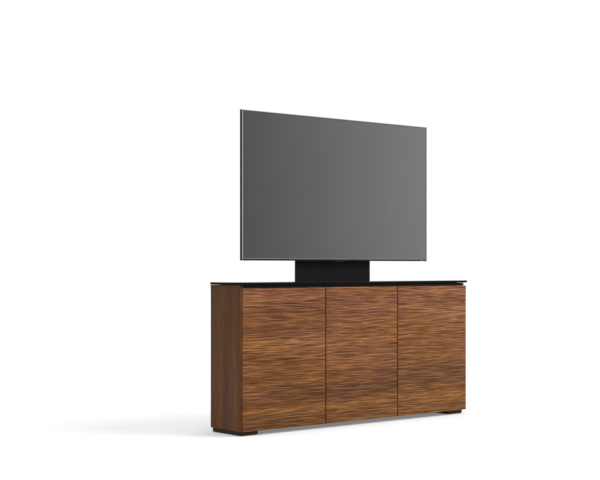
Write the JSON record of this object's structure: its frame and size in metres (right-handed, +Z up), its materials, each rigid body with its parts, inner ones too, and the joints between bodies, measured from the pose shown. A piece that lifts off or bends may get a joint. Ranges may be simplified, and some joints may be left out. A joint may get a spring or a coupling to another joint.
{
  "type": "media cabinet with tv mount",
  "caption": "Shallow media cabinet with carved walnut doors, black glass top and a rear post mount that holds a flat screen above it.",
  "frame": {"origin": "on the floor, under the middle of the whole object's box", "axes": "+X to the right seen from the front, the door fronts face -Y, +Z up"},
  "size_m": [1.674, 0.272, 1.681],
  "materials": {
    "walnut": "satin veneer with upright grain",
    "carved_walnut": "carved and oiled, sideways grain",
    "dark_rail": "satin dark stain",
    "back_board": "matt black laminate",
    "black_foot": "dark stain",
    "felt": "black felt",
    "black_glass": "polished, back painted black",
    "clear_pad": "clear silicone",
    "hinge_steel": "nickel plated",
    "bolt_steel": "zinc plated",
    "latch_plastic": "light grey",
    "black_steel": "fine black powder coat",
    "black_plastic": "fine grain",
    "bezel": "satin black with a bright edge",
    "display": "dark grey, half gloss",
    "tray_steel": "plain sheet",
    "circuit_board": "green lacquer"
  },
  "bodies": {
    "cabinet": {"side_panel_left": "walnut", "side_panel_right": "walnut", "partition_left": "walnut", "partition_right": "walnut", "bottom_panel": "walnut", "top_panel": "walnut", "upper_back_rail": "walnut", "lower_back_rail": "walnut", "shelf_left": "walnut", "shelf_center": "walnut", "shelf_right": "walnut", "top_front_rail": "dark_rail", "back_panel_left": "back_board", "back_panel_center": "back_board", "back_panel_right": "back_board", "foot_left": "black_foot", "foot_right": "black_foot", "foot_pads": "felt", "glass_top": "black_glass", "glass_bumpers": "clear_pad", "hinge_arms": "hinge_steel", "hinge_plates": "hinge_steel", "shelf_pins": "hinge_steel", "back_panel_screws": "bolt_steel", "post_bolts": "bolt_steel", "plate_bolts": "bolt_steel", "cover_clips": "bolt_steel", "latch_housings": "latch_plastic", "post_left": "black_steel", "post_right": "black_steel", "mount_crossbar": "black_steel", "mount_plate": "black_steel", "column_cover": "black_steel", "cable_grommets": "black_plastic", "post_caps": "black_plastic"},
    "door_left": {"door_left": "carved_walnut", "hinge_cups_left": "hinge_steel", "latch_strike_left": "hinge_steel"},
    "links_left": {"hinge_links_left": "hinge_steel"},
    "plunger_left": {"latch_plunger_left": "latch_plastic"},
    "door_center": {"door_center": "carved_walnut", "hinge_cups_center": "hinge_steel", "latch_strike_center": "hinge_steel"},
    "links_center": {"hinge_links_center": "hinge_steel"},
    "plunger_center": {"latch_plunger_center": "latch_plastic"},
    "door_right": {"door_right": "carved_walnut", "hinge_cups_right": "hinge_steel", "latch_strike_right": "hinge_steel"},
    "links_right": {"hinge_links_right": "hinge_steel"},
    "plunger_right": {"latch_plunger_right": "latch_plastic"},
    "screen": {"hook_bracket_left": "black_steel", "hook_bracket_right": "black_steel", "bracket_bolts": "bolt_steel", "screen_bezel": "bezel", "display_panel": "display", "backlight_tray": "tray_steel", "screen_back_cover": "black_plastic", "power_inlet": "black_plastic", "main_board": "circuit_board", "power_board": "circuit_board"}
  },
  "joints": [
    {"name": "door_left_hinge", "type": "hinge", "parent": "cabinet", "child": "door_left", "pos_m": [-0.825, -0.136, 0.388], "axis": [0, 0, -1], "range_deg": [0, 100]},
    {"name": "links_left_pivot", "type": "hinge", "parent": "door_left", "child": "links_left", "pos_m": [-0.8071, -0.1228, 0.388], "axis": [0, 0, -1], "range_deg": [-95, 2]},
    {"name": "door_center_hinge", "type": "hinge", "parent": "cabinet", "child": "door_center", "pos_m": [-0.2645, -0.136, 0.388], "axis": [0, 0, -1], "range_deg": [0, 100]},
    {"name": "links_center_pivot", "type": "hinge", "parent": "door_center", "child": "links_center", "pos_m": [-0.2466, -0.1228, 0.388], "axis": [0, 0, -1], "range_deg": [-95, 2]},
    {"name": "door_right_hinge", "type": "hinge", "parent": "cabinet", "child": "door_right", "pos_m": [0.825, -0.136, 0.388], "axis": [0, 0, 1], "range_deg": [0, 100]},
    {"name": "links_right_pivot", "type": "hinge", "parent": "door_right", "child": "links_right", "pos_m": [0.8071, -0.1228, 0.388], "axis": [0, 0, 1], "range_deg": [-95, 2]},
    {"name": "plunger_left_press", "type": "slide", "parent": "cabinet", "child": "plunger_left", "axis": [0, -1, 0], "range_m": [-0.0025, 0], "stiffness_N_per_m": 300},
    {"name": "plunger_center_press", "type": "slide", "parent": "cabinet", "child": "plunger_center", "axis": [0, -1, 0], "range_m": [-0.0025, 0], "stiffness_N_per_m": 300},
    {"name": "plunger_right_press", "type": "slide", "parent": "cabinet", "child": "plunger_right", "axis": [0, -1, 0], "range_m": [-0.0025, 0], "stiffness_N_per_m": 300},
    {"name": "screen_lift", "type": "slide", "parent": "cabinet", "child": "screen", "axis": [0, 0, 1], "range_m": [0, 0.025]}
  ],
  "couplings": [
    {"joint": "links_left_pivot", "follows": "door_left_hinge", "ratio": -0.928},
    {"joint": "links_center_pivot", "follows": "door_center_hinge", "ratio": -0.928},
    {"joint": "links_right_pivot", "follows": "door_right_hinge", "ratio": -0.928}
  ]
}
